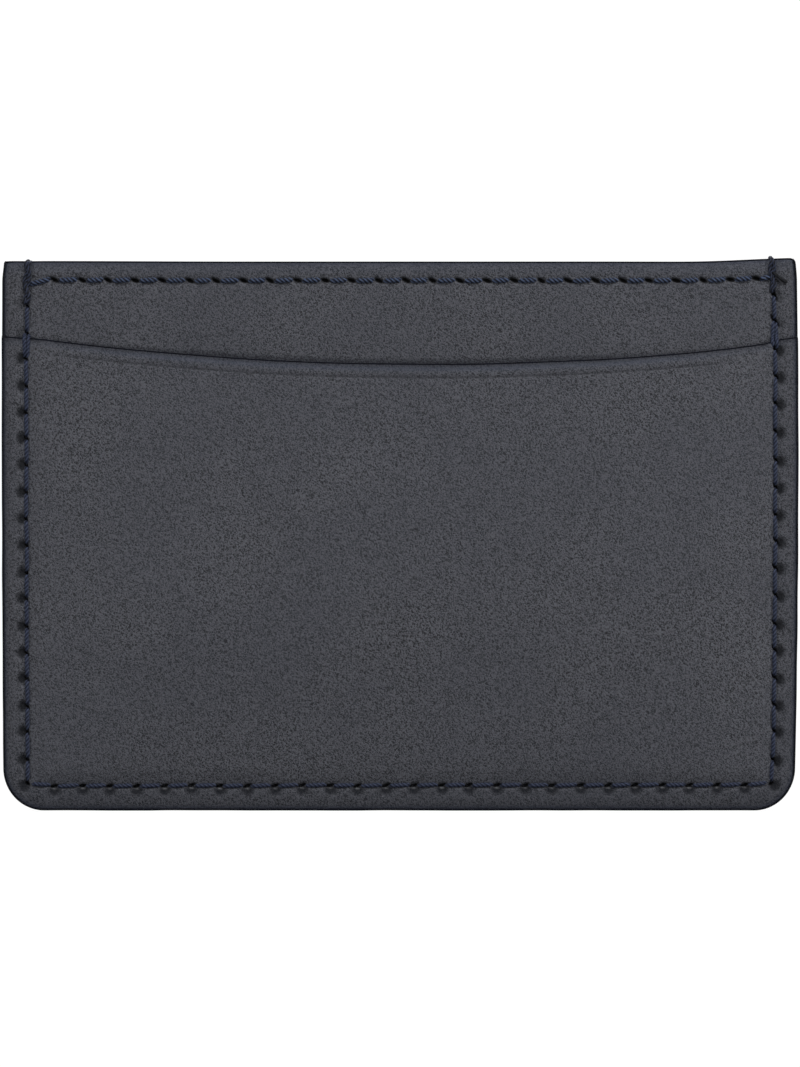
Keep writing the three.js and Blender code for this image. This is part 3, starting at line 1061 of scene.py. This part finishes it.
def calf_leather():
    """Smooth navy calf: a grain of fine short strokes, soft clouding, marks where it is sewn and cut, dye
    bled in at its edges, and painted shade and highlights where it is sewn, creased and turned.
    """
    finish = new_finish("navy_calf")
    strokes = finish.leaning(-50, 1.7)
    grain = finish.noise(0.155, detail=2, roughness=0.45, distortion=1.3, place=strokes)
    pores = finish.cells(0.22)
    cloud = finish.noise(16, detail=3)
    fleck = finish.noise(0.7, detail=2)
    slit = finish.mark("slit")
    dimple = finish.mark("dimple")
    pebble = 0.76 * grain + 0.24 * pores
    tone = finish.between(pebble, 0.39, 0.58)
    base = finish.blend(tone, (0.0125, 0.0132, 0.0168), (0.119, 0.123, 0.145))
    clouded = finish.blend(finish.between(cloud, 0.3, 0.7, 0, 0.3), base, (0.05, 0.0545, 0.073))
    flecked = finish.blend(finish.between(fleck, 0.35, 0.75, 0, 0.14), clouded, (0.07, 0.07, 0.078))
    # Painted highlight with the navy cast of the edge dye, along the lip under the mouth and under the top
    # edge.
    lip_highlighted = finish.blend(finish.mark("lip") * 0.6, flecked, (0.06, 0.072, 0.108))
    # Painted shade along the groove of the crease under the mouth.
    crease_shaded = finish.blend(finish.mark("crease") * 0.45, lip_highlighted, (0.018, 0.019, 0.026))
    # Painted shade, near black, in the dimples the seam pulls beside its holes.
    dimples_shaded = finish.blend(dimple * 0.95, crease_shaded, (0.005, 0.006, 0.009))
    # Navy dye bled in from the edge paint near the cut edges; under the panel's top edge the same mark is
    # also painted shade.
    dye_bleed_and_shade = finish.blend(finish.mark("edge") * 0.8, dimples_shaded, (0.03, 0.037, 0.062))
    # Painted shade where the shade mark lies, broken up by the grain.
    shade = finish.mark("shade") * finish.between(tone, 0, 1, 1.0, 0.7)
    shaded = finish.blend(shade, dye_bleed_and_shade, (0.0095, 0.0115, 0.02))
    # Painted highlight on each burr, where its raised leather catches the light.
    burrs_highlighted = finish.blend(finish.mark("burr"), shaded, (0.26, 0.265, 0.285))
    # Painted shade: the needle holes are near black inside.
    colour = finish.blend(slit, burrs_highlighted, (0.0006, 0.0006, 0.001))
    height = pebble + 0.2 * fleck
    return finish.surface(
        Base_Color=colour,
        Roughness=finish.between(tone, 0, 1, 0.68, 0.5) + 0.3 * slit + 0.25 * dimple,
        IOR=1.45,
        Specular_IOR_Level=0.42,
        Sheen_Weight=0.04,
        Sheen_Roughness=0.5,
        Normal=finish.relief(height, 0.15, 1.0),
    )


def lining_leather():
    """Thin split leather with a drier, more open surface."""
    finish = new_finish("navy_lining")
    nap = finish.noise(0.22, detail=4, roughness=0.7)
    cloud = finish.noise(9, detail=2)
    base = finish.blend(finish.between(nap, 0.3, 0.7), (0.018, 0.02, 0.029), (0.036, 0.039, 0.051))
    colour = finish.blend(finish.between(cloud, 0.3, 0.7, 0, 0.35), base, (0.026, 0.029, 0.042))
    return finish.surface(Base_Color=colour, Roughness=0.8, IOR=1.45, Normal=finish.relief(nap, 0.05, 0.7))


def edge_paint():
    """Near-black paint with a navy cast, brushed on, slightly uneven and satin."""
    finish = new_finish("edge_paint")
    brushed = finish.noise(0.9, detail=3)
    fine = finish.noise(0.16, detail=2)
    colour = finish.blend(finish.between(brushed, 0.3, 0.7), (0.002, 0.0024, 0.005), (0.005, 0.0062, 0.013))
    return finish.surface(
        Base_Color=colour,
        Roughness=finish.between(fine, 0.3, 0.7, 0.6, 0.76),
        IOR=1.45,
        Specular_IOR_Level=0.13,
        Normal=finish.relief(0.7 * brushed + 0.3 * fine, 0.05, 0.5),
    )


def sewing_thread(name, dark, light):
    """Twisted polyester, with a painted highlight along the crest of each ply and painted shade between them
    and down in the holes.
    """
    finish = new_finish(name)
    fibre = finish.noise(0.09, detail=2, roughness=0.7)
    ply = finish.mark("ply")
    # Painted highlight along each ply's crest and painted shade in the valleys between plies.
    crest = finish.between(0.8 * ply + 0.2 * fibre, 0.5, 0.98)
    lit = finish.blend(crest, dark, light)
    # Painted shade, near black, where the thread goes down into a hole; the loose end is darkened all along.
    colour = finish.blend(finish.mark("darkening"), lit, (0.0015, 0.0018, 0.003))
    return finish.surface(
        Base_Color=colour,
        Roughness=0.6,
        IOR=1.45,
        Specular_IOR_Level=0.3,
        Sheen_Weight=0.03,
        Sheen_Roughness=0.4,
        Normal=finish.relief(fibre, 0.03, 0.5),
    )


def pale_floor():
    """A pale floor that looks white and throws little light up at the leather."""
    finish = new_finish("studio_floor")
    tint = finish.blend(finish.noise(40, detail=2), (0.3, 0.3, 0.3), (0.32, 0.32, 0.32))
    lit = finish.node("ShaderNodeBsdfDiffuse", inputs={"Color": tint})
    glow = finish.node("ShaderNodeEmission", inputs={"Color": WHITE, "Strength": FLOOR_GLOW})
    seen = finish.node("ShaderNodeLightPath", output="Is Camera Ray")
    mixed = finish.node("ShaderNodeMixShader", inputs={0: FLOOR_GLOW_SHARE * seen, 1: lit, 2: glow})
    finish.node("ShaderNodeOutputMaterial", inputs={"Surface": mixed})
    return finish.owner


leather = calf_leather()
lining_finish = lining_leather()
paint = edge_paint()
row_thread = sewing_thread("row_thread", (0.0045, 0.0066, 0.0165), (0.08, 0.11, 0.192))
# The next two are darker copies of the row's thread, the same navy thread: painted shade on the seam and on
# the corner wraps.
seam_thread_shaded = sewing_thread("seam_thread_shaded", (0.011, 0.0148, 0.033), (0.054, 0.069, 0.122))
wrap_thread_shaded = sewing_thread("wrap_thread_shaded", (0.0015, 0.0018, 0.0045), (0.034, 0.044, 0.082))


# ---- the pieces


def build_half(side_name, back):
    """One half: pocket, panel, lining, their painted edges and the row of stitches under the top edge."""
    holes = turned_over(seam_holes) if back else seam_holes
    row = turned_over(top_row_holes) if back else top_row_holes

    def add(part, shape, material):
        finish_piece(f"{side_name}_{part}", shape, material, back)

    pocket_form = pocket_outer(holes)
    panel_form = panel_outer(holes, row)
    pocket_sheet = leather_sheet(mouth_cut, pocket_points(), pocket_form, plain_face(POCKET, 0))
    panel_sheet = leather_sheet(top_cut, panel_points(), panel_form, plain_face(PANEL, 0))
    lining_faces = (plain_face(LINING, 1), plain_face(LINING, 0))
    lining_sheet = leather_sheet(top_cut, coarse_points(top_cut), *lining_faces)
    add("pocket", pocket_sheet, leather)
    add("panel", panel_sheet, leather)
    add("lining", lining_sheet, lining_finish)
    mouth_edge = top_paint(POCKET, pocket_form, mouth_height, mouth_cut, MOUTH_LAP, 0.2)
    top_edge = top_paint(LINING, panel_form, top_height, top_cut, TOP_LAP, 0.16)
    add("mouth_edge_paint", mouth_edge, paint)
    add("top_edge_paint", top_edge, paint)
    add("top_needle_thread", top_row_threads(row), row_thread)
    add("top_bobbin_thread", top_row_bobbin(row), seam_thread_shaded)


def build_seam():
    """What goes through or round both halves."""
    needle = seam_threads(seam_holes, SEAM_RADIUS, SEAM_LIFT, 50)
    bobbin = seam_threads(turned_over(seam_holes), BOBBIN_RADIUS, 0.07, 60)
    finish_piece("seam_needle_thread", needle, seam_thread_shaded)
    finish_piece("seam_bobbin_thread", bobbin, seam_thread_shaded, back=True)
    finish_piece("perimeter_edge_paint", perimeter_paint(), paint)
    left = corner_wrap(-1, LEFT_FIRST_HOLE, False)
    right = corner_wrap(1, RIGHT_FIRST_HOLE, True)
    finish_piece("left_corner_wrap", left, wrap_thread_shaded)
    finish_piece("right_corner_wrap", right, wrap_thread_shaded)


build_half("front", back=False)
build_half("back", back=True)
build_seam()


# ---- floor, light and camera


def lay_floor():
    mesh = bpy.data.meshes.new("floor")
    corners = [(-1, -1, 0), (1, -1, 0), (1, 1, 0), (-1, 1, 0)]
    mesh.from_pydata([Vector(corner) * FLOOR_REACH for corner in corners], [], [(0, 1, 2, 3)])
    floor = bpy.data.objects.new("floor", mesh)
    bpy.context.scene.collection.objects.link(floor)
    mesh.materials.append(pale_floor())


def soft_light(name, place, aim, size, power):
    light = bpy.data.lights.new(name, "AREA")
    light.shape = "RECTANGLE"
    light.size, light.size_y = size
    light.energy = power
    lamp = bpy.data.objects.new(name, light)
    lamp.location = place
    lamp.rotation_euler = (Vector(aim) - Vector(place)).to_track_quat("-Z", "Y").to_euler()
    bpy.context.scene.collection.objects.link(lamp)


def light_studio():
    """A white surround that lights gently, a large light above each face and strips at the sides."""
    world = Finish(bpy.data.worlds.new("studio"))
    seen = world.node("ShaderNodeBackground", inputs={"Color": WHITE, "Strength": SURROUND_SEEN})
    felt = world.node("ShaderNodeBackground", inputs={"Color": WHITE, "Strength": SURROUND_FELT})
    camera_ray = world.node("ShaderNodeLightPath", output="Is Camera Ray")
    surround = world.node("ShaderNodeMixShader", inputs={0: camera_ray, 1: felt, 2: seen})
    world.node("ShaderNodeOutputWorld", inputs={"Surface": surround})
    bpy.context.scene.world = world.owner
    for light in LIGHTS:
        soft_light(*light)


def place_camera():
    """Dead in front and level, far enough away that the holder looks flat."""
    camera_data = bpy.data.cameras.new("camera")
    camera_data.lens = CAMERA_LENS
    camera_data.clip_start, camera_data.clip_end = 0.05, 20
    camera = bpy.data.objects.new("camera", camera_data)
    camera.location = CAMERA_PLACE
    camera.rotation_euler = (math.pi / 2, 0, 0)
    bpy.context.scene.collection.objects.link(camera)
    bpy.context.scene.camera = camera


lay_floor()
light_studio()
place_camera()
bpy.context.scene.view_settings.view_transform = "Standard"

bpy.context.view_layer.update()
